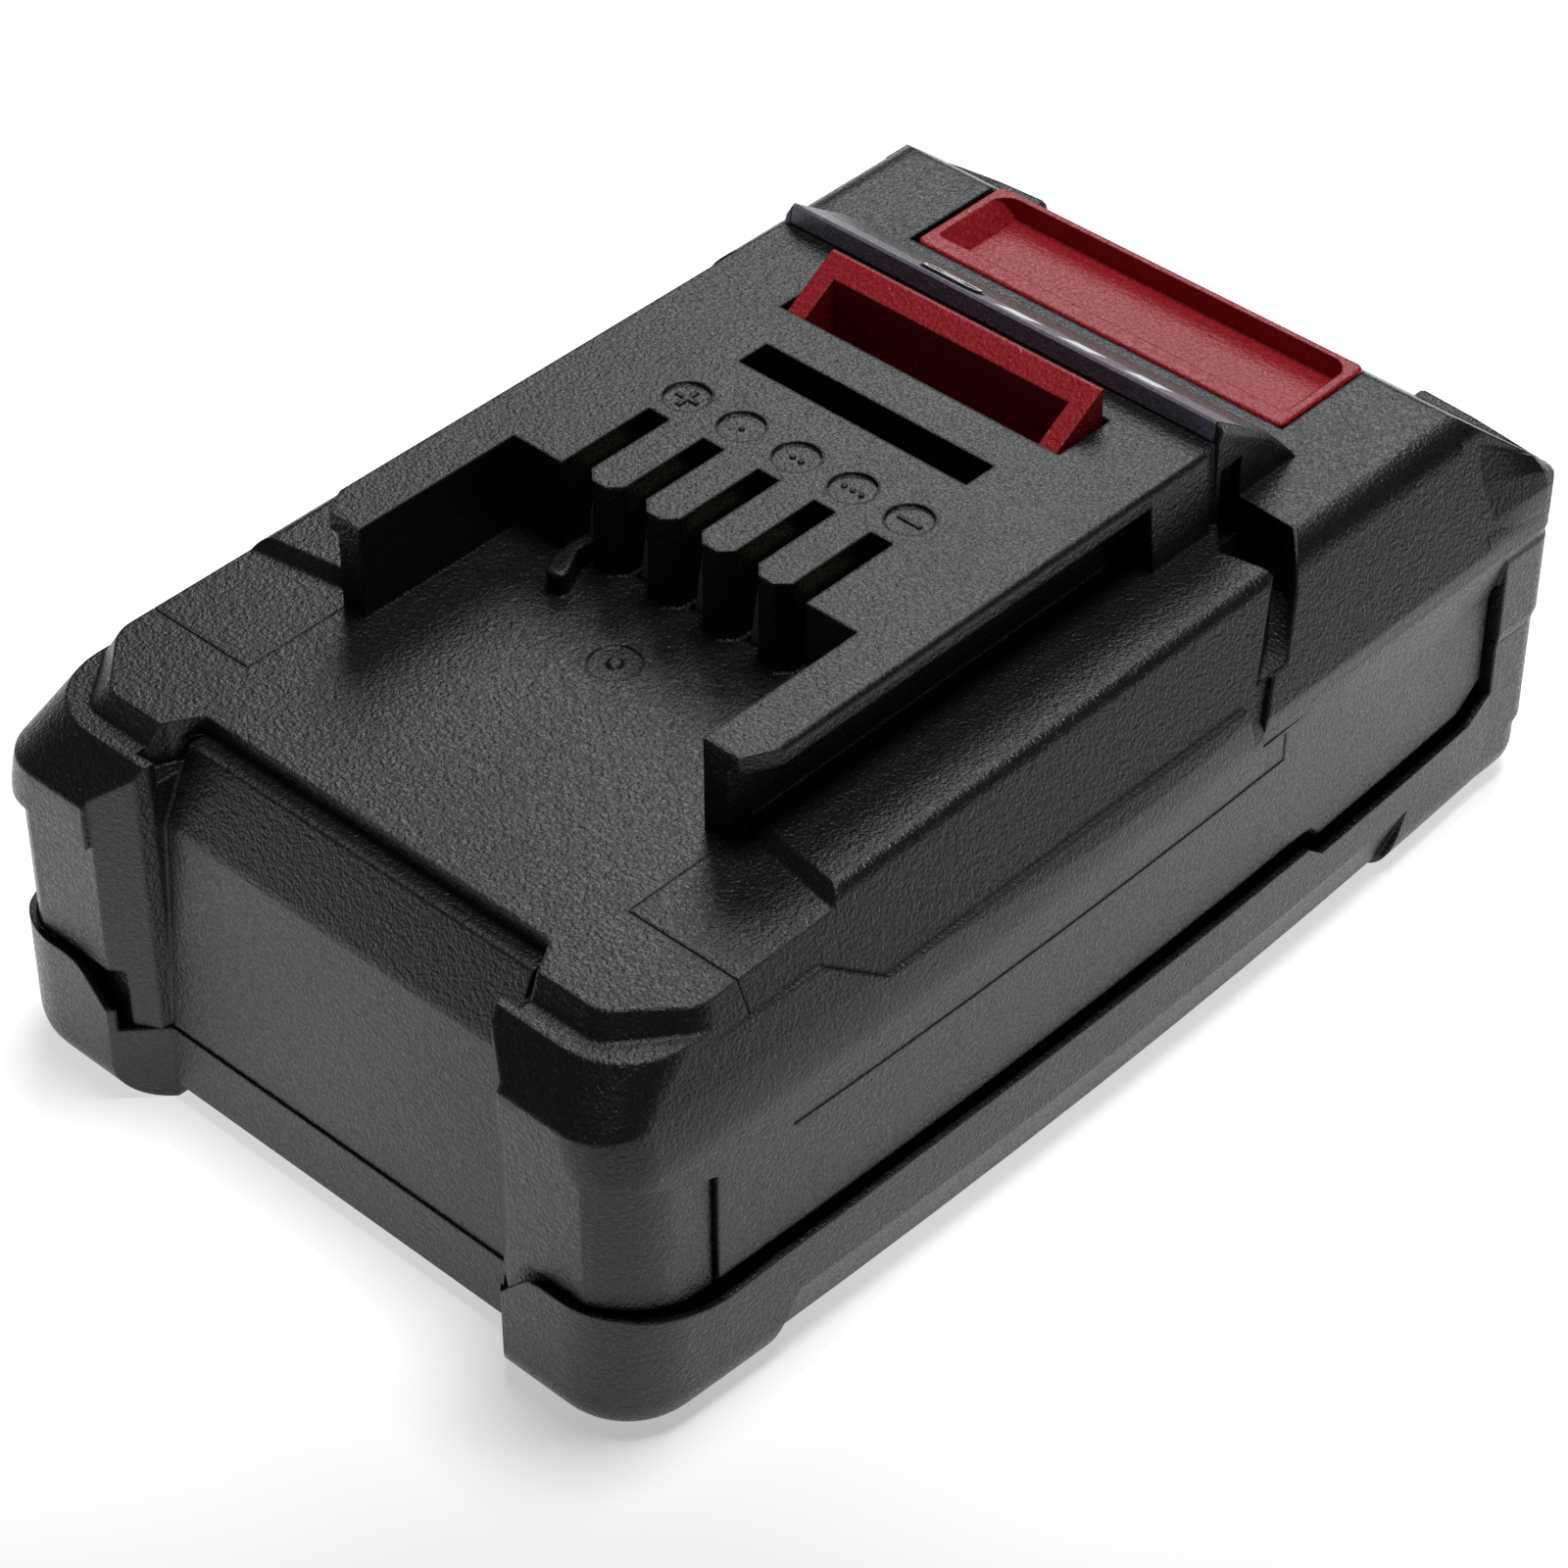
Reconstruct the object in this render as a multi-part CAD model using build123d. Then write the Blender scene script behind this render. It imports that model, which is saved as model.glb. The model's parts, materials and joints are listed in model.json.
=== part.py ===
from build123d import *
import math
import os

os.makedirs("parts", exist_ok=True)

# Slide-on power tool battery pack, five round cells across the width.
# Frame: +Z up, origin at the middle of the footprint on the resting plane.
# The open ends of the rails face -Y, the release button is at +Y, +X is right.

# ------------------------------------------------------------------ dimensions
RIM_HALF = 39.35          # half width of the lower rim at mid length
CROWN = 1.25              # the sides lose this much half width ...
CROWN_AT = 49.0           # ... at this distance from mid length
FRONT_Y = -59.6           # front faces of the two front feet
REAR_Y = 59.6             # rear face
RIM_R = 7.4               # plan corner radius of the rim, front
REAR_R = 2.9              # plan corner radius of the rim, rear
BELLY_Z = 1.9             # underside between the feet
CREASE_Z = 6.4            # crease along the lower side
PART_Z = 8.0              # housing parting plane
REAR_PART_Z = 17.9        # parting plane behind the side slots
LIP_Z = 11.6              # top edge of the rim lip
SLOT_Y = 52.4             # side recess ends here
WALL_OFF = 0.95           # upper wall stands this far inside the rim
PILLAR_Y = -58.7          # front faces of the front pillars
LEDGE_Z = 36.63           # narrow ledge round the front corners
FLOOR_Z = 38.54           # terminal bay floor
SHELF_Z = 39.70           # raised side shelves beside the deck
BLOCK_Z = 40.66           # top of the rear block
DECK_Z = 47.85            # top of the slide deck and rails
DECK_T = 1.75             # thickness of the rail overhang
DECK_X = 25.08            # half width over the rail overhangs
WEB_OUT = 22.16           # outer face of the rail webs
WEB_IN = 19.56            # inner face of the rails
RAIL_Y = -31.3            # front end of the rails
DECK_Y = -13.4            # front edge of the deck between the rails
GROOVE_END_Y = 16.9       # rear end of the side grooves
RIDGE_Y = 25.7            # front face of the indicator ridge
RIDGE_Z = 49.90           # top edge of the indicator ridge
PITCH = 6.35              # terminal pitch
SLOT_W = 2.47             # terminal slot width
SLOT_REAR_Y = -2.83       # rear end of the terminal slots
LATCH_TOP_Z = 51.0        # top of the latch hook
LATCH_TRAVEL = 3.8        # stroke of the release latch
TRAY_X = 21.33            # half width of the release button
TRAY_Y0, TRAY_Y1 = 39.7, 51.85
CELL_R = 9.2              # 18650 cell with sleeve
CELL_L = 65.1
CELL_PITCH = 19.4
CELL_Y0 = 0.9             # middle of the row of cells
CELL_Z = 14.6
BOARD_Z = 25.6            # underside of the protection board


# ------------------------------------------------------------------ helpers
def poly(pts):
    return Face(Wire.make_polygon([Vector(*p) for p in pts], close=True))


def prism_z(pts, z0, z1):
    return Solid.extrude(poly([(x, y, z0) for x, y in pts]), Vector(0, 0, z1 - z0))


def prism_x(pts, x0, x1):
    return Solid.extrude(poly([(x0, y, z) for y, z in pts]), Vector(x1 - x0, 0, 0))


def prism_y(pts, y0, y1):
    return Solid.extrude(poly([(x, y0, z) for x, z in pts]), Vector(0, y1 - y0, 0))


def box(x0, x1, y0, y1, z0, z1):
    return prism_z([(x0, y0), (x1, y0), (x1, y1), (x0, y1)], z0, z1)


def cyl(x, y, z0, z1, r):
    return Solid.make_cylinder(r, z1 - z0, Plane((x, y, z0)))


def cyl_x(x0, x1, y, z, r):
    return Solid.make_cylinder(r, x1 - x0, Plane(origin=(x0, y, z), x_dir=(0, 1, 0), z_dir=(1, 0, 0)))


def cyl_dir(p, d, length, r):
    return Solid.make_cylinder(r, length, Plane(origin=p, z_dir=d))


def mir(s):
    return s.mirror(Plane.YZ)


def both(s):
    return [s, mir(s)]


def half_width(y, off=0.0):
    return RIM_HALF - CROWN * (y / CROWN_AT) ** 2 - off


def plan(off, yf, yr, rf, rr, z):
    xf, xm, xr = half_width(yf, off), half_width(0, off), half_width(yr, off)
    f = Face(Wire([
        ThreePointArc((xf, yf), (xm, 0), (xr, yr)),
        Line((xr, yr), (-xr, yr)),
        ThreePointArc((-xr, yr), (-xm, 0), (-xf, yf)),
        Line((-xf, yf), (xf, yf)),
    ]))
    if rf > 0:
        f = f.fillet_2d(rf, f.vertices().sort_by(Axis.Y)[:2])
    if rr > 0:
        f = f.fillet_2d(rr, f.vertices().sort_by(Axis.Y)[-2:])
    return f.moved(Location((0, 0, z)))


def rim(off, yf, yr, rf, rr, z):
    """Outline of the lower housing: crowned sides that run straight behind the side slots."""
    xf, xm, xs, xr = half_width(yf, off), half_width(0, off), half_width(SLOT_Y, off), half_width(SLOT_Y, off) + 0.03
    f = Face(Wire([
        ThreePointArc((xf, yf), (xm, 0), (xs, SLOT_Y)),
        Line((xs, SLOT_Y), (xr, yr)),
        Line((xr, yr), (-xr, yr)),
        Line((-xr, yr), (-xs, SLOT_Y)),
        ThreePointArc((-xs, SLOT_Y), (-xm, 0), (-xf, yf)),
        Line((-xf, yf), (xf, yf)),
    ]))
    f = f.fillet_2d(rf, f.vertices().sort_by(Axis.Y)[:2])
    f = f.fillet_2d(rr, f.vertices().sort_by(Axis.Y)[-2:])
    return f.moved(Location((0, 0, z)))


def plan_prism(off, yf, yr, rf, rr, z0, z1):
    return Solid.extrude(plan(off, yf, yr, rf, rr, z0), Vector(0, 0, z1 - z0))


def plan_loft(rows, ruled=False):
    return Solid.make_loft([plan(*r).outer_wire() for r in rows], ruled)


def pill(x0, x1, y, r, z0, z1):
    s = box(x0, x1, y - r, y + r, z0, z1)
    return s.fuse(cyl(x0, y, z0, z1, r)).fuse(cyl(x1, y, z0, z1, r)).clean()


def try_fillet(s, r, edges, note):
    try:
        out = s.fillet(r, edges)
        if out.is_valid and out.volume > 0.5 * s.volume:
            return out
        print("fillet left out:", note)
    except Exception as e:
        print("fillet left out:", note, type(e).__name__)
    return s


def cut_all(s, tools):
    for t in tools:
        s = s - t
    return s


def one(s):
    """Largest solid of a result."""
    sol = s.solids().sort_by(SortBy.VOLUME)
    if len(sol) > 1:
        print("  pieces:", [round(q.volume, 2) for q in sol])
    return sol[-1]


NODES = {}


def keep(name, shape):
    NODES[name] = shape


def group(shapes):
    return Compound(children=[Solid(s.wrapped) if not isinstance(s, Solid) else s for s in shapes])


# ------------------------------------------------------------------ upper housing, outside
# upright wall, rounded shoulder, and the front slope up to the ledge
WALL_Y = -59.3
wall = plan_prism(WALL_OFF, WALL_Y, 59.4, 5.3, 4.6, PART_Z + 0.05, 27.5)
sh_low = plan_loft([(WALL_OFF, WALL_Y, 59.4, 5.3, 4.6, 27.5), (1.0, WALL_Y, 59.4, 5.3, 4.6, 28.5), (1.18, WALL_Y, 59.4, 5.3, 4.6, 29.5),
                    (1.42, WALL_Y, 59.4, 5.3, 4.6, 30.5), (1.70, WALL_Y, 59.4, 5.25, 4.6, 31.5), (2.0, WALL_Y + 0.05, 59.4, 5.2, 4.6, 32.4)])
sh_up = plan_loft([(2.0, WALL_Y + 0.05, 59.4, 5.2, 4.6, 32.4), (3.69, -55.4, 59.4, 7.2, 4.6, LEDGE_Z)], True)
cap = plan_prism(3.69, -55.4, 59.4, 7.2, 4.6, LEDGE_Z, 40.0)
body = wall + sh_low + sh_up + cap

# the side slopes: one plane along each side, starting at the shelf edge
SLOPE_X, SLOPE_K = 33.0, 0.4744          # half width at shelf level, mm outwards per mm down
SKIRT = 0.53                             # the lower part of the slope stands this much further out
WALL_X = 38.41


def slope_x(z):
    return SLOPE_X + (SHELF_Z - z) * SLOPE_K


def side_prism(extra, y0, y1):
    zv = SHELF_Z - (WALL_X - extra - SLOPE_X) / SLOPE_K
    f = poly([(-WALL_X, y0, 0), (WALL_X, y0, 0), (WALL_X, y0, zv), (slope_x(45.0) + extra, y0, 45.0),
              (-slope_x(45.0) - extra, y0, 45.0), (-WALL_X, y0, zv)])
    f = f.fillet_2d(7.0, [v for v in f.vertices() if abs(v.Z - zv) < 0.01])
    return Solid.extrude(f, Vector(0, y1 - y0, 0))


# boundary between the middle and the rear block, seen from above
edge_rear = [(39.8, 14.55), (33.9, 24.9), (31.1, 28.3), (24.5, 28.9)]
edge_both = edge_rear + [(-x, y) for x, y in reversed(edge_rear)]
mask_fwd = [(-45, -65), (45, -65), (45, 14.55)] + edge_both + [(-45, 14.55)]
mask_rear_poly = [(45, 14.5)] + edge_both + [(-45, 14.5), (-45, 65), (45, 65)]
fwd = prism_z(mask_fwd, 0, 60)

core = ((body & side_prism(0.0, -62, 40)) & fwd) & box(-50, 50, -70, 40, 0, LEDGE_Z)
skirt_side = prism_x([(-64, 0), (-64, LEDGE_Z), (-48.2, LEDGE_Z), (-45.6, 35.6), (-34.6, 35.7), (-28.8, 31.8), (16, 31.8), (16, 0)], -50, 50)
skirt = ((body & side_prism(SKIRT, -62, 40)) & fwd) & skirt_side


def outline(pts, radii, z):
    """Mirrored plan outline with rounded corners, pts on the right side from the middle outwards."""
    full = pts + [(-x, y) for x, y in reversed(pts)]
    f = poly([(x, y, z) for x, y in full])
    for k, r in radii.items():
        x, y = pts[k]
        f = f.fillet_2d(r, [v for v in f.vertices() if abs(abs(v.X) - x) < 0.01 and abs(v.Y - y) < 0.01])
    return f.outer_wire()


low_pts = [(20.2, -48.9), (22.2, -53.4), (29.5, -53.4), (slope_x(LEDGE_Z), -47.1), (slope_x(LEDGE_Z), 29.5)]
top_pts = [(19.6, -48.9), (21.4, -52.1), (28.1, -52.1), (slope_x(FLOOR_Z), -46.4), (slope_x(FLOOR_Z), 29.5)]
rad = {2: 2.6, 3: 3.4}
plateau = Solid.make_loft([outline(low_pts, rad, LEDGE_Z - 0.5), outline(low_pts, rad, LEDGE_Z), outline(top_pts, rad, FLOOR_Z)], True)
plateau = plateau & fwd

# raised shelves beside the deck; they start with a slanted facet
shelf_f = poly([(21.0, -33.5, 36.0), (slope_x(36.0), -33.5, 36.0), (SLOPE_X, -33.5, SHELF_Z), (21.0, -33.5, SHELF_Z)])
shelf_f = shelf_f.fillet_2d(1.6, [v for v in shelf_f.vertices() if abs(v.Z - SHELF_Z) < 0.01 and v.X > 30])
shelf = Solid.extrude(shelf_f, Vector(0, 62.5, 0))
shelf = shelf - Solid.extrude(
    Face(Wire.make_polygon([Vector(20, -29.25, FLOOR_Z), Vector(20, -27.9, SHELF_Z + 0.2), Vector(20, -40, SHELF_Z + 0.2), Vector(20, -40, 30), Vector(20, -29.25, 30)], close=True)),
    Vector(16, -2.6, 0))
shelf = shelf & fwd

# rear block: straight sides, sloping in above; the side panel blends into it
REAR_K = 0.4663


def rear_plan(xa, xb, xc, xd, yr, r, z):
    """Half widths at y = 10, 34, 51.8 and at the rear face."""
    f = poly([(xa, 10, z), (xb, 34, z), (xc, 51.8, z), (xd, yr, z), (-xd, yr, z), (-xc, 51.8, z), (-xb, 34, z), (-xa, 10, z)])
    return f.fillet_2d(r, [v for v in f.vertices() if abs(v.Y - yr) < 0.01]).outer_wire()


RX = 38.12
REAR_FACE = REAR_Y - 0.03


def rear_row(x, r, z):
    return rear_plan(x, x, x, x + 0.13, REAR_FACE, r, z)


def rear_slope(z):
    return 33.08 + (BLOCK_Z - z) * REAR_K


r_low = Solid.make_loft([rear_plan(38.33, 37.78, 37.08, 37.0, REAR_FACE, 3.0, 23.4), rear_row(RX, 2.3, 28.4)], True)
r_mid = Solid.make_loft([rear_row(RX, 2.3, 28.4), rear_row(RX - 0.04, 2.3, 29.5), rear_row(RX - 0.15, 2.3, 30.25),
                         rear_row(RX - 0.40, 2.3, 30.85), rear_row(rear_slope(31.5), 2.3, 31.5)], False)
r_top = Solid.make_loft([rear_row(rear_slope(31.5), 2.3, 31.5), rear_row(33.08, 1.2, BLOCK_Z)], True)
rear = r_low + r_mid + r_top
# the side slopes fade out towards the rear corners, which stay upright
corner_rows = [(49.8, [(30, 29.6), (37.6, 29.6), (37.5, 30.6), (36.9, 31.9), (35.2, 35.6), (33.3, 39.6), (30, 40.0)]),
               (57.2, [(30, 29.6), (38.05, 29.6), (38.15, 31.0), (38.15, 33.0), (37.6, 34.4), (36.3, 35.4), (30, 35.7)]),
               (REAR_FACE - 0.03, [(30, 29.6), (38.05, 29.6), (38.15, 30.8), (38.1, 32.4), (37.6, 33.2), (36.3, 33.5), (30, 33.6)])]
corner = Solid.make_loft([Wire.make_polygon([Vector(x, y, z) for x, z in pts], close=True) for y, pts in corner_rows], True)
corner_lim = poly([(29, 48, 29.0), (38.4, 48, 29.0), (38.4, REAR_FACE - 0.03, 29.0), (29, REAR_FACE - 0.03, 29.0)])
corner_lim = corner_lim.fillet_2d(2.7, [v for v in corner_lim.vertices() if v.X > 38 and v.Y > 50])
corner = corner & Solid.extrude(corner_lim, Vector(0, 0, 15))
for s in both(corner):
    rear = rear + s


def rear_top(x):
    return BLOCK_Z - (x - 33.08) / REAR_K


rear_face = poly([(-50, 10, 0), (50, 10, 0), (50, 10, rear_top(50)), (33.08, 10, BLOCK_Z), (-33.08, 10, BLOCK_Z), (-50, 10, rear_top(50))])
rear_face = rear_face.fillet_2d(3.6, [v for v in rear_face.vertices() if abs(v.Z - BLOCK_Z) < 0.01])
rear_prism = Solid.extrude(rear_face, Vector(0, 42.5, 0)) + box(-50, 50, 49.5, 70, 0, 39.4)
rear_face2 = poly([(-50, 10, 0), (-50, 62, 0), (-50, 62, 33.7 - 2.6 * 0.8285), (-50, 51.0, BLOCK_Z), (-50, 10, BLOCK_Z)])
rear_face2 = rear_face2.fillet_2d(1.2, [v for v in rear_face2.vertices() if abs(v.Y - 51.0) < 0.01])
rear_prism2 = Solid.extrude(rear_face2, Vector(100, 0, 0))
rear = ((rear & rear_prism) & rear_prism2) & prism_z(mask_rear_poly, 0, 60)

# panel behind the middle and flush band behind the side slots
panel_wall = wall & prism_z(mask_rear_poly, 0, 60)
band_rear = Solid.make_loft([rear_plan(37.8, 37.8, 37.90, 38.02, REAR_FACE - 0.24, 2.9, REAR_PART_Z - 0.4),
                             rear_plan(38.0, 38.0, 38.08, 38.21, REAR_FACE - 0.04, 2.4, REAR_PART_Z + 1.0),
                             rear_plan(38.0, 38.0, 38.08, 38.21, REAR_FACE - 0.04, 2.4, 27.0),
                             rear_plan(37.0, 37.0, 37.08, 37.21, REAR_FACE - 1.0, 2.4, 29.0)], True)
band_rear = band_rear & box(-50, 50, SLOT_Y, 65, 0, 30)

upper = one(core + skirt) + plateau
for s in both(shelf):
    upper = upper + s
upper = upper + panel_wall + rear + band_rear
# small ledges along the rear top edge, each side of the release button
for s in both(prism_y([(22.0, 30.0), (22.0, 34.0), (22.2, 34.4), (22.7, 34.62), (28.0, 34.35), (33.0, 33.8), (36.0, 33.4), (36.0, 30.0)], 57.0, REAR_FACE - 0.02)):
    upper = upper + s

# the front corners below the shoulder are set back and have a vertical crease
pil = Face(Wire([Line((-36.65, -40), (36.65, -40)), Line((36.65, -40), (36.65, -52.48)),
                 ThreePointArc((36.65, -52.48), (35.44, -56.29), (32.25, PILLAR_Y)), Line((32.25, PILLAR_Y), (-32.25, PILLAR_Y)),
                 ThreePointArc((-32.25, PILLAR_Y), (-35.44, -56.29), (-36.65, -52.48)), Line((-36.65, -52.48), (-36.65, -40))]))
pil_cut = prism_x([(-66, 0), (-66, 28.0), (-57.2, 28.1), (-51.5, 25.4), (-48.55, 24.3), (-48.55, 0)], -50, 50) - Solid.extrude(pil, Vector(0, 0, 40))
upper = upper - pil_cut

# ------------------------------------------------------------------ deck, rails, ridge
DECK_BEV = 0.45
deck_prof = [(-WEB_OUT, 36), (WEB_OUT, 36), (WEB_OUT, DECK_Z - DECK_T), (DECK_X, DECK_Z - DECK_T),
             (DECK_X, DECK_Z - DECK_BEV), (DECK_X - DECK_BEV, DECK_Z), (-DECK_X + DECK_BEV, DECK_Z),
             (-DECK_X, DECK_Z - DECK_BEV), (-DECK_X, DECK_Z - DECK_T), (-WEB_OUT, DECK_Z - DECK_T)]
deck_f = poly([(x, RAIL_Y, z) for x, z in deck_prof])
deck_f = deck_f.fillet_2d(0.3, [v for v in deck_f.vertices() if v.Z > DECK_Z - DECK_BEV - 0.1])
deck_f = deck_f.fillet_2d(0.25, [v for v in deck_f.vertices() if abs(v.Z - DECK_Z + DECK_T) < 0.01 and abs(v.X) > 24])
deck = Solid.extrude(deck_f, Vector(0, GROOVE_END_Y + 0.5 - RAIL_Y, 0))
deck = deck - box(-WEB_IN, WEB_IN, -40, DECK_Y, FLOOR_Z, 60)
deck = deck - box(-60, 60, -40, DECK_Y, 0, 36.5)
for s in both(prism_z([(DECK_X + 1, -27.8 - 1.9), (DECK_X + 1, -40), (22.9, -40), (22.9, RAIL_Y - 0.7), (23.4, -31.1 - 0.0), (DECK_X, -27.8)], 40, 60)):
    deck = deck - s
wall_rear = prism_y([(-26.0, 36), (26.0, 36), (25.12, DECK_Z - 0.5), (24.7, DECK_Z), (-24.7, DECK_Z), (-25.12, DECK_Z - 0.5)], GROOVE_END_Y, 24.4)
wall_back = prism_y([(-25.2, 36), (25.2, 36), (24.55, DECK_Z), (-24.55, DECK_Z)], 24.3, 37.4)
ridge_k = (RIDGE_Z - BLOCK_Z) / (39.7 - 26.15)
RIDGE_BRK_Y, RIDGE_FOOT_Y = 33.4, 37.35   # the slope turns steeper, and its foot
ridge_brk = RIDGE_Z - (RIDGE_BRK_Y - 26.25) * ridge_k
RIDGE_END = 24.45                         # each end drops to a lower slanted edge
end_a = [(RIDGE_Y, 38.0), (RIDGE_Y, DECK_Z), (26.0, RIDGE_Z - 0.12), (26.25, RIDGE_Z), (RIDGE_BRK_Y, ridge_brk), (RIDGE_FOOT_Y, BLOCK_Z - 0.02), (RIDGE_FOOT_Y, 38.0)]
end_b = [(RIDGE_Y, 38.0), (RIDGE_Y, DECK_Z - 0.2), (25.95, 48.95), (26.2, 49.02), (RIDGE_BRK_Y, 44.4), (37.25, BLOCK_Z - 0.04), (37.25, 38.0)]
end_c = [(RIDGE_Y, 38.0), (RIDGE_Y, DECK_Z - 0.2), (25.95, 48.55), (26.2, 48.62), (RIDGE_BRK_Y, 44.1), (37.25, BLOCK_Z - 0.04), (37.25, 38.0)]
RIDGE_END_L = 24.0                        # the left end stops a little sooner
ridge = prism_x(end_a, -RIDGE_END_L, RIDGE_END)
end = Solid.make_loft([Wire.make_polygon([Vector(RIDGE_END, y, z) for y, z in end_a], close=True),
                       Wire.make_polygon([Vector(25.2 - 0.65 * (y - RIDGE_Y) / 11.6, y, z) for y, z in end_b], close=True)], True)
end_l = Solid.make_loft([Wire.make_polygon([Vector(-RIDGE_END_L, y, z) for y, z in end_a], close=True),
                         Wire.make_polygon([Vector(-24.72 + 0.5 * (y - RIDGE_Y) / 11.6, y, z) for y, z in end_c], close=True)], True)
ridge = ridge + end + end_l
back_limit = prism_x([(20, 30), (20, 52), (25.9, 52), (25.95, 48.9), (26.2, 48.95), (RIDGE_BRK_Y, 44.35), (37.2, BLOCK_Z - 0.1), (37.2, 30)], -60, 60)
deck = deck + wall_rear + (wall_back & back_limit) + ridge
upper = upper + deck

# ------------------------------------------------------------------ cuts on the outside
cuts = []
# recessed front panel between the pillars
panel_plan = [(24.9, -62), (24.0, PILLAR_Y + 0.0), (20.7, -56.3), (20.2, -55.0), (19.96, -48.0), (-19.96, -48.0),
              (-20.2, -55.0), (-20.7, -56.3), (-24.0, PILLAR_Y + 0.0), (-24.9, -62)]
panel_side = [(-70, 0), (-55.75, 0), (-55.4, PART_Z), (-53.95, 29.5), (-53.75, 30.1), (-50.95, 36.45), (-50.85, 36.62),
              (-50.62, 36.62), (-49.0, FLOOR_Z), (-49.0, 50), (-70, 50)]
panel = prism_z(panel_plan, -1, 50) & prism_x(panel_side, -30, 30)
cuts.append(panel)
# pockets beside the panel's top strip
for s in both(prism_z([(19.9, -48.95), (21.5, -51.6), (22.25, -53.6), (22.2, -54.6), (19.9, -54.3)], 34.3, 45)):
    cuts.append(s)
# slanted gap between shelf and rear block
gap = prism_z([(23.4, 28.2), (24.2, 27.3), (27.8, 23.1), (33.0, 24.0), (36.9, 17.2), (37.6, 15.9), (39.2, 16.6),
               (38.9, 17.9), (34.4, 25.5), (31.1, 28.9), (23.6, 29.4)], 30, 45)
gap = gap & prism_y([(22, 36.6), (25.0, 36.6), (26.5, 33.6), (30, 33.2), (36.2, 32.6), (36.7, 33.0), (36.7, 46), (22, 46)], 10, 35)
cuts += both(gap)
# groove at the foot of the walls, behind the lip; its upper edge is eased in steps
RING_Z = [(-48.5, 12.2), (24.3, 12.5), (25.8, 12.2), (27.0, 10.9), (48.2, 11.0), (SLOT_Y - 0.8, 13.2)]
for off_, up_ in ((2.3, 0.0), (1.75, 0.35), (1.3, 0.75)):
    ring = plan_prism(-2.0, -63, 64, 0, 0, 0, 15) - plan_prism(off_, -70, 70, 0, 0, -1, 16)
    cuts.append(ring & prism_x([(-48.5, 0)] + [(y, z + up_) for y, z in RING_Z] + [(SLOT_Y - 0.8, 0)], -50, 50))
ring = plan_prism(-2.0, -66, 64, 0, 0, 0, 15) - plan_prism(2.3, -57.7, 70, 5.2, 0, -1, 16)
cuts.append(ring & prism_x([(-66, 0), (-66, 14.5), (-57.5, 14.3), (-54.0, 13.5), (-51.5, 12.5), (-48.4, 12.2), (-48.4, 0)], -50, 50))
# nothing of the upper housing below the parting planes
cuts.append(box(-60, 60, SLOT_Y - 0.05, 70, 0, REAR_PART_Z + 0.05))
cuts.append(box(-60, 60, -70, 70, -5, PART_Z + 0.05))
# terminal slots, finger tips, label recesses
TERM_X = [i * PITCH for i in (-2, -1, 0, 1, 2)]
for x in TERM_X:
    cuts.append(box(x - SLOT_W / 2, x + SLOT_W / 2, -14, SLOT_REAR_Y, FLOOR_Z, 60))
    cuts.append(cyl(x, 0.6, DECK_Z - 0.3, 60, 2.155))
for i in range(4):
    x0, x1 = TERM_X[i] + SLOT_W / 2, TERM_X[i + 1] - SLOT_W / 2
    c = 1.15
    cuts.append(prism_z([(x0 - 0.1, DECK_Y - 1), (x0 + c, DECK_Y - 1), (x0 + c, DECK_Y - 0.001), (x0 - 0.1, DECK_Y + c + 0.1)], FLOOR_Z, 60))
    cuts.append(prism_z([(x1 + 0.1, DECK_Y - 1), (x1 - c, DECK_Y - 1), (x1 - c, DECK_Y - 0.001), (x1 + 0.1, DECK_Y + c + 0.1)], FLOOR_Z, 60))
# long slot and latch opening in the deck
cuts.append(box(-13.0, 13.0, 7.28, 10.84, 40, 60))
cuts.append(box(-15.98, 15.98, 15.7, 22.4, 40, 60))
# button well
cuts.append(box(-21.72, 21.72, 39.35, 52.22, 28, 60))
# vertical slot in front of the flush band, and the thin line by the front corner
deep = plan_prism(-1.0, -63, 63, 0, 0, 8.0, 24.3) - plan_prism(2.3, -70, 70, 0, 0, 7, 25)
cuts.append(deep & box(-50, 50, SLOT_Y - 0.85, SLOT_Y, 8.0, 24.3))
cuts.append(deep & box(-50, 50, -48.8, -48.5, 8.0, 24.3))
# insert lines: shallow recessed field on each side, fine grooves on the front plateau
field = plan_prism(-1.0, -63, 63, 0, 0, 20.0, 30.0) - plan_prism(WALL_OFF + 0.1, -70, 70, 0, 0, 19, 31)
cuts.append(field & box(-50, 50, -40.3, 20.6, 24.1, 27.2))
for s in both(box(22.0, 34.0, -42.48, -42.32, FLOOR_Z - 0.14, FLOOR_Z + 1)) + both(box(21.92, 22.06, -42.4, -31.4, FLOOR_Z - 0.10, FLOOR_Z + 1)):
    cuts.append(s)
for s in both(Solid.extrude(poly([(slope_x(38.7) - 0.13, -42.48, 38.7), (slope_x(38.7) + 0.5, -42.48, 38.7), (slope_x(35.7) + 0.5, -42.48, 35.7), (slope_x(35.7) - 0.13, -42.48, 35.7)]), Vector(0, 0.16, 0))):
    cuts.append(s)
# witness mark of an ejector in the bay floor
cuts.append(cyl(-0.2, -21.3, FLOOR_Z - 0.18, FLOOR_Z + 1, 2.35))

# ------------------------------------------------------------------ cuts on the inside
cuts.append(plan_prism(3.4, -52.7, 57.0, 3.0, 3.0, 0, 29.0))
cuts.append(plan_prism(5.3, -50.6, 56.0, 3.0, 3.0, 28.0, 32.0))
cuts.append(box(-30.5, 30.5, -46.3, 11.5, 31, 36.2))
cuts.append(box(-20.8, 20.8, 11.0, 31.5, 31, 36.2))
cuts.append(box(-29.0, 29.0, 31.2, 49.5, 31, 38.3))
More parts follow.
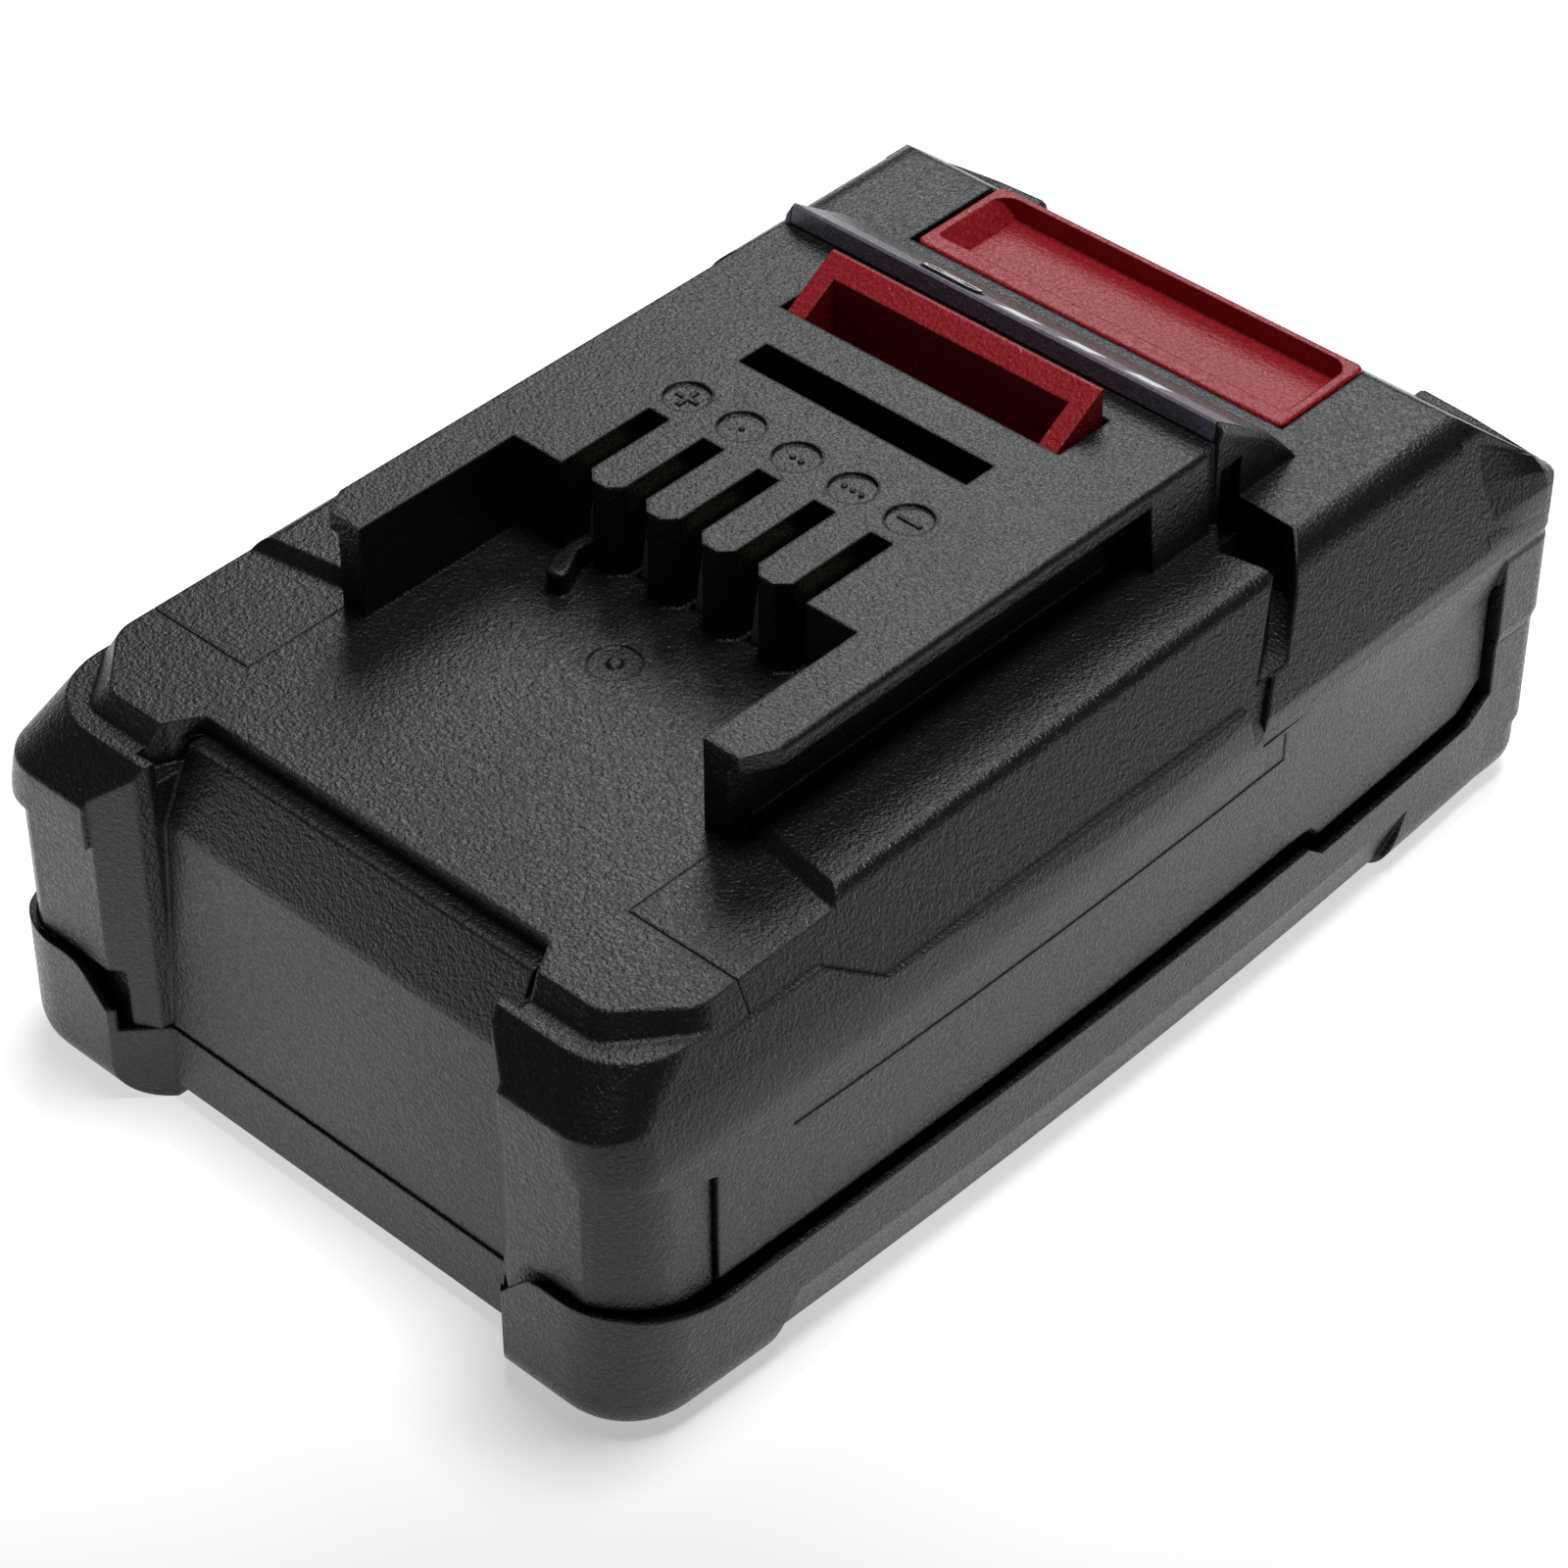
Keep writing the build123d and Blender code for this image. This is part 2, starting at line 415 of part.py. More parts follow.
# inside of the deck and of the ridge
ridge_in = RIDGE_Z - 2.7
cuts.append(prism_x([(-0.9, 30), (-0.9, DECK_Z - DECK_T), (28.0, DECK_Z - DECK_T), (28.0, ridge_in - (28.0 - 26.2) * ridge_k),
                     (33.3, ridge_in - (33.3 - 26.2) * ridge_k), (37.2, 38.5), (39.4, 38.25), (39.4, 30)], -18.4, 18.4))
# slits for the contacts through the bay floor
for x in TERM_X:
    cuts.append(box(x - 0.75, x + 0.75, -11.9, -3.0, 34, FLOOR_Z + 0.1))

upper = one(upper)
for i, c in enumerate(cuts):
    upper = upper - c
upper = one(upper)
print("upper valid", upper.is_valid, round(upper.volume, 1))

# rear flanges beside the button
# bay floor details: round nosed rib
rib = prism_z([(-12.3, -16.5), (-10.95, -18.6), (-9.55, -18.1), (-9.5, -17.2), (-11.0, -14.6), (-11.0, -12.4), (-12.3, -12.4)], FLOOR_Z - 0.5, FLOOR_Z + 2.3)
rib = try_fillet(rib, 0.5, rib.edges().filter_by(Axis.Z), "rib")
rib = try_fillet(rib, 0.3, [e for e in rib.edges() if abs(e.center().Z - FLOOR_Z - 2.3) < 0.01], "rib top")
upper = upper + rib
pip = cyl(-0.2, -21.3, FLOOR_Z - 0.3, FLOOR_Z + 0.16, 0.75)
pip = try_fillet(pip, 0.3, pip.edges().sort_by(Axis.Z)[-1:], "pip")
upper = upper + pip
# rib under the deck between the long slot and the latch opening
upper = upper + box(-18.6, 18.6, 12.1, 13.3, 36.0, DECK_Z - DECK_T + 0.1)
NODES["upper_housing"] = upper

# ------------------------------------------------------------------ lower housing
belly = Solid.make_loft([rim(1.2, FRONT_Y, REAR_Y - 1.0, RIM_R - 1.4, REAR_R + 0.6, BELLY_Z).outer_wire(),
                         rim(0.0, FRONT_Y, REAR_Y, RIM_R, REAR_R, CREASE_Z).outer_wire()], True) + \
    Solid.extrude(rim(0.0, FRONT_Y, REAR_Y, RIM_R, REAR_R, CREASE_Z), Vector(0, 0, REAR_PART_Z - CREASE_Z))
belly = belly & prism_x([(-55.9, BELLY_Z), (-55.6, PART_Z), (-55.5, 20), (70, 20), (70, BELLY_Z)], -60, 60)
# rounded lower rear edge
belly = belly & prism_x([(-60, 0), (54.2, BELLY_Z), (56.9, 3.0), (58.7, 4.9), (59.35, 7.0), (59.6, 10.0), (59.6, 20), (-60, 20)], -60, 60)

foot_blk = Solid.extrude(rim(0.0, FRONT_Y, REAR_Y, RIM_R, REAR_R + 1.1, 0.0), Vector(0, 0, REAR_PART_Z))
foot_blk = try_fillet(foot_blk, 3.8, [e for e in foot_blk.edges() if abs(e.center().Z) < 0.01], "feet bottom")
ff = prism_z([(23.9, -62), (23.7, -59.6), (20.2, -55.7), (20.0, -50), (20.0, -40.4), (45, -40.4), (45, -62)], -1, 14.6)
ff = ff & prism_x([(-62, -1), (-43.9, -1), (-43.6, BELLY_Z - 0.1), (-40.5, CREASE_Z), (-40.4, 14.6), (-62, 14.6)], 0, 60)
rf = prism_z([(20.0, 37.3), (45, 37.3), (45, 62), (20.0, 62)], -1, 12.0)
rf = rf & prism_x([(62, -1), (37.4, -1), (37.6, BELLY_Z - 0.1), (40.0, CREASE_Z), (40.1, 12.0), (62, 12.0)], 0, 60)
lower = one(belly)
for s in both(ff) + both(rf):
    f = foot_blk & s
    lower = lower + f
# the lip's top edge along its run
lip_cut = prism_x([(-70, 14.1), (-59.0, 14.05), (-57.6, 13.8), (-56.3, 13.4), (-54.4, 12.95), (-52.3, 12.2), (-50.4, 11.55), (-48.6, 11.3), (-42.8, 11.6),
                   (-24.0, 11.9), (24.3, 11.9), (26.4, 10.2), (48.9, 10.35), (SLOT_Y, 12.2), (SLOT_Y, REAR_PART_Z), (70, REAR_PART_Z), (70, 30), (-70, 30)], -60, 60)
lower = lower - lip_cut
for s in both(prism_y([(19.0, 10.4), (23.8, 10.4), (24.3, 10.9), (26.4, 13.2), (27.2, 13.8), (28.4, 14.1), (28.4, 16), (19.0, 16)], -64, -50)):
    lower = lower - s
# room for the upper wall inside the lip
inner_top = plan_prism(0.6, FRONT_Y + 0.62, 64, RIM_R - 0.6, 0, PART_Z, 20) & box(-60, 60, -70, SLOT_Y - 0.02, 0, 30)
lower = lower - inner_top
lower = lower - box(-20.4, 20.4, -64, -50, PART_Z, 20)
# inside
lower = lower - plan_prism(3.2, -53.0, 56.8, 3.0, 3.0, BELLY_Z + 2.2, 30)
# label recess underneath
lower = lower - box(-27.2, 27.2, -32.2, 30.2, 0, BELLY_Z + 0.3)
lower = one(lower)

# screw bosses
SCREWS = [(30.5, -52.3), (31.0, 53.5)]
upper = NODES["upper_housing"]
for (sx_, sy_) in SCREWS:
    for m in (1, -1):
        x, y = m * sx_, sy_
        room = plan_prism(1.6, -57.9, 58.4, 4.0, 4.0, BELLY_Z + 1.0, 30)
        b = cyl(x, y, BELLY_Z + 1.0, PART_Z, 3.4) & room
        lower = lower + b
        ub = cyl(x, y, PART_Z + 0.05, 30.0, 3.0) & plan_prism(1.7, -57.6, 58.2, 4.0, 4.0, PART_Z, 40)
        upper = upper + ub
        if sy_ > 0:
            lower = lower - cyl(x, y, PART_Z + 0.04, 20, 3.15)
        lower = lower - cyl(x, y, -1, 4.6, 2.9)
        lower = lower - cyl(x, y, 4, 9, 1.65)
        upper = upper - cyl(x, y, PART_Z - 1, 22.0, 1.45)
lower = one(lower)
upper = one(upper)
print("lower valid", lower.is_valid, round(lower.volume, 1))
keep("upper_housing", upper)
keep("lower_housing", lower)

# ------------------------------------------------------------------ indicator strip on the ridge
# the strip lies in a shallow recess: front face of the ridge and the band behind its top edge
u = Vector(0, 13.47, -(RIDGE_Z - BLOCK_Z)).normalized()     # down the slope, rearwards
n = Vector(0, -u.Z, u.Y)                                     # outwards from the slope


def ridge_pt(s, h):
    """Point s along the slope from the top edge, h outwards."""
    return (26.25 + u.Y * s + n.Y * h, RIDGE_Z + u.Z * s + n.Z * h)


strip_prof = [ridge_pt(0.0, 0.0), ridge_pt(3.9, 0.0), ridge_pt(3.9, -0.35), ridge_pt(0.25, -0.35), (26.1, 48.2), (RIDGE_Y, 48.2),
              (RIDGE_Y, 48.2)]
strip_prof = [(RIDGE_Y - 0.02, 48.15), (26.0 - 0.02, RIDGE_Z - 0.12), (26.25, RIDGE_Z + 0.02), ridge_pt(3.9, 0.02), ridge_pt(3.9, -0.4),
              (26.42, RIDGE_Z - 0.52), (26.38, RIDGE_Z - 0.6), (26.15, 48.15)]
strip = prism_x(strip_prof, -RIDGE_END_L + 0.05, 24.4)
upper = NODES["upper_housing"]
strip_room = prism_x([(RIDGE_Y - 0.3, 48.15), (26.0 - 0.3, RIDGE_Z + 0.3), (26.25, RIDGE_Z + 0.5), ridge_pt(3.9, 0.5), ridge_pt(3.9, -0.4),
                      (26.42, RIDGE_Z - 0.52), (26.38, RIDGE_Z - 0.6), (26.15, 48.15)], -RIDGE_END_L - 0.05, 24.5)
upper = upper - strip_room


def slope_box(x0, x1, s0, s1, h0, h1, skew=0.0):
    """Block standing on the ridge slope; skew shifts its rear end sideways."""
    q = []
    for (x, s) in ((x0, s0), (x1, s0), (x1 + skew, s1), (x0 + skew, s1)):
        y, z = ridge_pt(s, h0)
        q.append((x, y, z))
    v = n * (h1 - h0)
    return Solid.extrude(poly(q), v)


LED_X = [0.7, 8.0, 15.3]
leds_win = []
for x in LED_X:
    w = slope_box(x - 2.1, x + 1.5, 1.2, 3.3, -2.3, 0.03, 0.75)
    leds_win.append(w)
    hole = slope_box(x - 2.1, x + 1.5, 1.2, 3.3, -6.0, 1.0, 0.75)
    strip = strip - hole
    upper = upper - hole
# push button, oval, standing in the strip
BTN = (-7.0, 2.35)


def slope_oval(cx, cs, half, r, h0, h1):
    y, z = ridge_pt(cs, h0)
    pl = Plane(origin=(cx, y, z), x_dir=(1, 0, 0), z_dir=(n.X, n.Y, n.Z))
    L = h1 - h0
    a = Solid.make_cylinder(r, L, Plane(origin=pl.from_local_coords(Vector(-half, 0, 0)), x_dir=(1, 0, 0), z_dir=pl.z_dir))
    b = Solid.make_cylinder(r, L, Plane(origin=pl.from_local_coords(Vector(half, 0, 0)), x_dir=(1, 0, 0), z_dir=pl.z_dir))
    c = slope_box(cx - half, cx + half, cs - r, cs + r, h0, h1)
    return (a + b + c).clean()


btn_hole = slope_oval(BTN[0], BTN[1], 2.25, 1.3, -6.0, 1.0)
wing_room = slope_box(BTN[0] - 4.9, BTN[0] + 4.9, BTN[1] - 1.15, BTN[1] + 1.9, -6.0, -2.45)
strip = strip - btn_hole
upper = upper - btn_hole - wing_room
button = slope_oval(BTN[0], BTN[1], 2.25, 1.03, -3.2, 0.25) + slope_box(BTN[0] - 4.4, BTN[0] + 4.4, BTN[1] - 0.8, BTN[1] + 1.5, -3.2, -2.6)
strip = one(strip)
upper = one(upper)
keep("upper_housing", upper)
keep("indicator_label", strip)
keep("led_windows", group(leds_win))
keep("indicator_button", one(button))
# board under the ridge, parallel to the slope
IB = -5.9
ind_board = slope_box(-17.8, 17.8, -0.2, 9.0, IB - 0.8, IB)
keep("indicator_board", ind_board)
status = [slope_box(x - 1.2, x + 1.2, 1.7, 3.0, IB, IB + 1.0) for x in LED_X]
keep("status_leds", group(status))
sw = slope_box(BTN[0] - 2.2, BTN[0] + 2.2, BTN[1] - 1.6, BTN[1] + 1.6, IB, IB + 1.7) + \
    slope_oval(BTN[0], BTN[1], 0.4, 0.7, IB + 1.7, IB + 2.2)
keep("tact_switch", one(sw))

# ------------------------------------------------------------------ release latch
HX = 15.39
hook = prism_x([(16.1, 36.0), (16.1, 47.55), (21.95, 50.9), (22.04, LATCH_TOP_Z), (22.04, 36.0)], -HX, HX)
hook = prism_x([(16.05, 36.4), (16.05, 47.5), (21.75, LATCH_TOP_Z), (22.04, LATCH_TOP_Z), (22.04, 36.4)], -HX, HX)
hook = hook - box(-13.4, 13.4, 10, 19.85, 38.6, 60)
arms = []
for m in (1, -1):
    x0, x1 = sorted((m * 9.0, m * 14.6))
    arms.append(prism_x([(18.0, 33.6), (18.0, 37.2), (22.0, 37.2), (24.0, 36.2), (40.2, 36.2), (41.0, 37.4), (41.0, 33.6)], x0, x1))
tray = box(-TRAY_X, TRAY_X, TRAY_Y0, TRAY_Y1, 33.6, BLOCK_Z)
tray = try_fillet(tray, 0.9, tray.edges().filter_by(Axis.Z), "tray corners")
tray = try_fillet(tray, 0.35, [e for e in tray.edges() if abs(e.center().Z - BLOCK_Z) < 0.01], "tray rim")
pocket = prism_y([(-18.5, 38.4), (18.5, 38.4), (20.35, BLOCK_Z), (20.35, 60), (-20.35, 60), (-20.35, BLOCK_Z)], 41.6, 51.0)
pocket_in = box(-20.35, 20.35, 41.6, 51.0, 38.0, 60)
pocket_in = try_fillet(pocket_in, 2.0, [e for e in pocket_in.edges().filter_by(Axis.Z) if e.center().Y > 45], "tray pocket rear")
pocket_in = try_fillet(pocket_in, 0.6, [e for e in pocket_in.edges().filter_by(Axis.Z) if e.center().Y < 45], "tray pocket front")
pocket = pocket & pocket_in
tray = tray - pocket
tray = tray - box(-19.7, 19.7, 41.3, 50.0, 30, 36.4)
latch = hook
for a in arms:
    latch = latch + a
latch = latch + tray
# spring pins under the tray
SPRING = (16.6, 45.6)
for m in (1, -1):
    latch = latch + cyl(m * SPRING[0], SPRING[1], 34.4, 36.5, 1.15)
latch = one(latch)
print("latch valid", latch.is_valid, round(latch.volume, 1))
keep("release_latch", latch)


def helix_spring(x, y, z0, z1, r, wire, turns):
    h = z1 - z0 - wire
    path = Wire(Edge.make_helix(h / turns, h, r)).moved(Location((x, y, z0 + wire / 2)))
    p0 = path.position_at(0)
    t0 = path.tangent_at(0)
    sec = Face(Wire.make_circle(wire / 2, Plane(origin=p0, z_dir=t0)))
    return Solid.sweep(sec, path, is_frenet=True)


for nm, m in (("latch_spring_left", -1), ("latch_spring_right", 1)):
    keep(nm, helix_spring(m * SPRING[0], SPRING[1], 29.02, 36.38, 2.1, 0.5, 5))

# carrier that holds the springs, standing on the cell holders
carrier = box(-20.2, 20.2, 42.6, 48.6, 27.5, 29.0)
for m in (1, -1):
    carrier = carrier + cyl(m * SPRING[0], SPRING[1], 29.0, 30.0, 1.3)
    x0, x1 = sorted((m * 17.6, m * 20.2))
    carrier = carrier + box(x0, x1, 43.6, 47.6, 24.85, 27.6)
keep("spring_carrier", one(carrier))

# ------------------------------------------------------------------ cells, holders, strips
CELLS_Y = [CELL_Y0 + (i - 2) * CELL_PITCH for i in range(5)]
for i, y in enumerate(CELLS_Y):
    m = 1 if i % 2 == 0 else -1                       # end with the positive cap
    c = cyl_x(-CELL_L / 2, CELL_L / 2, y, CELL_Z, CELL_R)
    # groove below the cap and the shrunk sleeve edge
    xe = m * (CELL_L / 2 - 2.6)
    g = cyl_x(xe - 0.6, xe + 0.6, y, CELL_Z, CELL_R + 1) - cyl_x(xe - 0.7, xe + 0.7, y, CELL_Z, CELL_R - 0.35)
    c = c - g
    xa, xb = sorted((m * (CELL_L / 2 - 0.5), m * (CELL_L / 2 + 1)))
    r_ = cyl_x(xa, xb, y, CELL_Z, CELL_R - 1.0) - cyl_x(xa, xb, y, CELL_Z, 4.2)
    c = c - r_
    keep("cell_%d" % (i + 1), one(c))

H0, H1 = CELLS_Y[0] - CELL_PITCH / 2 - 0.75, CELLS_Y[-1] + CELL_PITCH / 2 + 0.75
for nm, m in (("cell_holder_left", -1), ("cell_holder_right", 1)):
    x0, x1 = sorted((m * 21.0, m * 32.3))
    h = box(x0, x1, H0, H1, 4.2, 24.8)
    for y in CELLS_Y:
        h = h - cyl_x(x0 - 1, x1 + 1, y, CELL_Z, CELL_R + 0.08)
    # slots between the bores save material
    for k in range(4):
        ym = (CELLS_Y[k] + CELLS_Y[k + 1]) / 2
        for zz in (5.0, 20.6):
            h = h - box(x0 - 1, x1 + 1, ym - 2.0, ym + 2.0, zz, zz + 3.4)
    # room for the screw bosses at the corners
    for (bx, by) in SCREWS:
        h = h - cyl(m * bx, by, 0, 40, 3.8)
    keep(nm, one(h))

XS = CELL_L / 2


def strip_solid(m, ya, yb, x_in, t):
    x0, x1 = sorted((m * x_in, m * (x_in + t)))
    s = box(x0, x1, ya, yb, CELL_Z - 4.0, CELL_Z + 4.0)
    return s


STRIPS = [("strip_negative", -1, CELLS_Y[0] - 4.5, CELLS_Y[0] + 4.5), ("strip_23", -1, CELLS_Y[1] - 4.5, CELLS_Y[2] + 4.5),
          ("strip_45", -1, CELLS_Y[3] - 4.5, CELLS_Y[4] + 4.5), ("strip_12", 1, CELLS_Y[0] - 4.5, CELLS_Y[1] + 4.5),
          ("strip_34", 1, CELLS_Y[2] - 4.5, CELLS_Y[3] + 4.5), ("strip_positive", 1, CELLS_Y[4] - 4.5, CELLS_Y[4] + 4.5)]
for nm, m, ya, yb in STRIPS:
    s = strip_solid(m, ya, yb, XS, 0.15)
    # slit between the weld points, and a tab up to the board level
    for y in CELLS_Y:
        if ya < y < yb:
            s = s - box(-40, 40, y - 0.4, y + 0.4, CELL_Z - 4.5, CELL_Z + 1.0)
    yt = (ya + yb) / 2
    x0, x1 = sorted((m * XS, m * (XS + 0.15)))
    s = s + box(x0, x1, yt - 1.6, yt + 1.6, CELL_Z + 3.9, 27.8)
    keep(nm, one(s))
for nm, m in (("insulator_left", -1), ("insulator_right", 1)):
    x0, x1 = sorted((m * (XS + 0.17), m * (XS + 0.42)))
    keep(nm, box(x0, x1, H0 + 4.6, H1 - 4.4, 5.0, 24.6))

# ------------------------------------------------------------------ protection board and contacts
board = box(-30.0, 30.0, -40.0, 41.0, BOARD_Z, BOARD_Z + 1.6)
for m in (1, -1):
    x0, x1 = sorted((m * 17.0, m * 31.0))
    board = board - box(x0, x1, 36.0, 42.0, 20, 30)
keep("bms_board", one(board))
BT = BOARD_Z + 1.6
keep("mosfets", group([box(x - 3.2, x + 3.2, 20.0, 26.5, BT, BT + 2.2) for x in (-22.5, -14.5, 14.5, 22.5)]))
keep("shunt_resistor", box(-5.0, 5.0, 27.0, 30.2, BT, BT + 0.9))
keep("controller_chip", box(-5.2, 5.2, 8.0, 15.2, BT, BT + 1.3))
keep("capacitors", group([cyl(x, -27.0, BT, BT + 5.4, 2.5) for x in (-18.0, -11.5, 18.0)]))
# posts that carry the board on the holders
keep("board_spacers", group([cyl(sx * 26.0, sy, 24.8, BOARD_Z, 2.2) for sx in (1, -1) for sy in (-36.0, 0.0, 32.0)]))

block = box(-16.5, 16.5, -13.5, -1.5, BT, 36.0)
for x in TERM_X:
    block = block - box(x - 0.4, x + 0.4, -11.6, -3.1, BT - 1, 37)
keep("terminal_block", one(block))
TN = ["contact_positive", "contact_temperature", "contact_sense", "contact_data", "contact_negative"]
for nm, x in zip(TN, TERM_X):
    blade = prism_x([(-11.6, BT), (-3.1, BT), (-3.1, 37.5), (-3.5, 44.2), (-4.2, 45.0), (-9.6, 45.0), (-10.5, 44.0), (-11.6, 37.5)], x - 0.4, x + 0.4)
    keep(nm, blade)


def wire_route(pts, r, radii):
    path = Wire(FilletPolyline(*pts, radius=radii).edges()) if True else None
    p0, t0 = path.position_at(0), path.tangent_at(0)
    sec = Face(Wire.make_circle(r, Plane(origin=p0, z_dir=t0)))
    return Solid.sweep(sec, path)


# leads from the end strips to the board
keep("lead_positive", wire_route([(XS - 1.3, CELLS_Y[4] - 8.0, 26.6), (XS - 1.3, 28.0, 26.6), (30.6, 24.0, 29.4), (28.0, 16.0, 29.4)], 1.1, [2.4, 2.4]))
keep("lead_negative", wire_route([(-XS + 1.3, CELLS_Y[0] + 8.0, 26.6), (-XS + 1.3, -20.0, 26.6), (-30.6, -16.0, 29.4), (-28.0, -8.0, 29.4)], 1.1, [2.4, 2.4]))
keep("thermistor", cyl_x(-2.2, 2.2, CELLS_Y[1] + CELL_PITCH / 2, 22.9, 1.3))
ribbon = []
for k, x in enumerate((-6.6, -5.2, -3.8, -2.4)):
    yb_, zb_ = ridge_pt(9.3, IB - 0.4)
    ribbon.append(wire_route([(x, 31.0, BT + 0.4), (x, 33.6, BT + 0.9), (x, yb_ + 0.2, zb_ - 2.0), (x, yb_ - 0.1, zb_ - 0.6)], 0.4, [1.2, 1.0]))
keep("indicator_wires", group(ribbon))
keep("foam_pads", group([box(-18, 18, y - 3.0, y + 3.0, BELLY_Z + 2.2, CELL_Z - CELL_R - 0.02) for y in (CELLS_Y[1], CELLS_Y[3])]))
keep("rating_label", box(-27.0, 27.0, -32.0, 30.0, BELLY_Z + 0.08, BELLY_Z + 0.3))

# ------------------------------------------------------------------ screws
screws = []
for (x0, y0) in SCREWS:
    for m in (1, -1):
        x = m * x0
        s = cyl(x, y0, 2.4, 4.6, 2.75) + cyl(x, y0, 4.6, 20.0, 1.42)
        s = s - Solid.extrude(Face(Wire.make_polygon([Vector(x + 1.25 * math.cos(a), y0 + 1.25 * math.sin(a), 2.0)
                                                     for a in [i * math.pi / 3 for i in range(6)]], close=True)), Vector(0, 0, 1.6))
        screws.append(one(s))
keep("housing_screws", group(screws))

for name, shape in NODES.items():
    export_step(shape, "parts/%s.step" % name)
print(len(NODES), "nodes")
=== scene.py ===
import json
import math

import bmesh
import bpy
from mathutils import Matrix, Vector


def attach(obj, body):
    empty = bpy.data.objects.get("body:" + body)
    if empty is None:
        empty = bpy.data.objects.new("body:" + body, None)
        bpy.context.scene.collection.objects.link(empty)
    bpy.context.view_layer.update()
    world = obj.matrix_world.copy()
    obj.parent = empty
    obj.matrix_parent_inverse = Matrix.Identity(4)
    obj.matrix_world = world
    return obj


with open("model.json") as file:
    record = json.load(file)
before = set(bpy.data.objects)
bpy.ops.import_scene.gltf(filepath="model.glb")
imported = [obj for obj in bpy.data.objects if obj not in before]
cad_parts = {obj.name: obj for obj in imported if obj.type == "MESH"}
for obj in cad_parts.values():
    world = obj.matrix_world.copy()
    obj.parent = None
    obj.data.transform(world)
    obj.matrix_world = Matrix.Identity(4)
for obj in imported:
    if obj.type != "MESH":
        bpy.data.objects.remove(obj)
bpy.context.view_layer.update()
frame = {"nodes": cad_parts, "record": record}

scene = bpy.context.scene
NODES = frame["nodes"]


# ---------------------------------------------------------------- node helpers
class Mat:
    """Small builder for procedural materials in object space (metres)."""

    def __init__(self, name):
        self.m = bpy.data.materials.new(name)
        self.m.use_nodes = True
        self.t = self.m.node_tree
        self.t.nodes.clear()
        self.out = self.t.nodes.new("ShaderNodeOutputMaterial")
        self.b = self.t.nodes.new("ShaderNodeBsdfPrincipled")
        self.t.links.new(self.b.outputs[0], self.out.inputs[0])
        self.tc = self.t.nodes.new("ShaderNodeTexCoord")
        self.co = self.tc.outputs["Object"]
        self.normal = None

    def link(self, a, b):
        self.t.links.new(a, b)

    def node(self, kind, **kw):
        n = self.t.nodes.new(kind)
        for k, v in kw.items():
            setattr(n, k, v)
        return n

    def mapping(self, scale=(1, 1, 1), rot=(0, 0, 0), loc=(0, 0, 0)):
        n = self.node("ShaderNodeMapping")
        n.inputs["Scale"].default_value = scale
        n.inputs["Rotation"].default_value = rot
        n.inputs["Location"].default_value = loc
        self.link(self.co, n.inputs["Vector"])
        return n.outputs["Vector"]

    def noise(self, scale, detail=2.0, rough=0.5, co=None, distortion=0.0):
        n = self.node("ShaderNodeTexNoise")
        n.inputs["Scale"].default_value = scale
        n.inputs["Detail"].default_value = detail
        n.inputs["Roughness"].default_value = rough
        n.inputs["Distortion"].default_value = distortion
        self.link(co or self.co, n.inputs["Vector"])
        return n.outputs["Fac"]

    def voronoi(self, scale, feature="F1", co=None, randomness=1.0):
        n = self.node("ShaderNodeTexVoronoi", feature=feature)
        n.inputs["Scale"].default_value = scale
        n.inputs["Randomness"].default_value = randomness
        self.link(co or self.co, n.inputs["Vector"])
        return n.outputs["Distance"]

    def ramp(self, fac, stops):
        n = self.node("ShaderNodeValToRGB")
        e = n.color_ramp.elements
        while len(e) < len(stops):
            e.new(0.5)
        for el, (p, c) in zip(e, stops):
            el.position = p
            el.color = c if len(c) == 4 else (*c, 1.0)
        self.link(fac, n.inputs["Fac"])
        return n.outputs["Color"]

    def range(self, fac, a, b, lo=0.0, hi=1.0):
        n = self.node("ShaderNodeMapRange")
        n.inputs["From Min"].default_value = lo
        n.inputs["From Max"].default_value = hi
        n.inputs["To Min"].default_value = a
        n.inputs["To Max"].default_value = b
        self.link(fac, n.inputs["Value"])
        return n.outputs["Result"]

    def math(self, op, a, b=None):
        n = self.node("ShaderNodeMath", operation=op)
        for i, v in enumerate((a, b)):
            if v is None:
                continue
            if isinstance(v, (int, float)):
                n.inputs[i].default_value = v
            else:
                self.link(v, n.inputs[i])
        return n.outputs[0]

    def mix(self, fac, a, b):
        n = self.node("ShaderNodeMix", data_type="RGBA")
        for sock, v in ((n.inputs["Factor"], fac), (n.inputs[6], a), (n.inputs[7], b)):
            if isinstance(v, (int, float)):
                sock.default_value = v
            elif isinstance(v, tuple):
                sock.default_value = v if len(v) == 4 else (*v, 1.0)
            else:
                self.link(v, sock)
        return n.outputs[2]

    def bump(self, height, dist, strength=1.0):
        n = self.node("ShaderNodeBump")
        n.inputs["Distance"].default_value = dist
        n.inputs["Strength"].default_value = strength
        self.link(height, n.inputs["Height"])
        if self.normal is not None:
            self.link(self.normal, n.inputs["Normal"])
        self.normal = n.outputs["Normal"]
        self.link(self.normal, self.b.inputs["Normal"])
        return n

    def soften(self, radius):
        """Moulded edges catch the light as a small radius does."""
        n = self.node("ShaderNodeBevel")
        n.samples = 4
        n.inputs["Radius"].default_value = radius
        self.normal = n.outputs["Normal"]
        self.link(self.normal, self.b.inputs["Normal"])

    def color(self, v):
        if isinstance(v, tuple):
            self.b.inputs["Base Color"].default_value = (*v, 1.0)
        else:
            self.link(v, self.b.inputs["Base Color"])

    def rough(self, v):
        if isinstance(v, (int, float)):
            self.b.inputs["Roughness"].default_value = v
        else:
            self.link(v, self.b.inputs["Roughness"])

    def set(self, **kw):
        for k, v in kw.items():
            self.b.inputs[k.replace("_", " ")].default_value = v
        return self


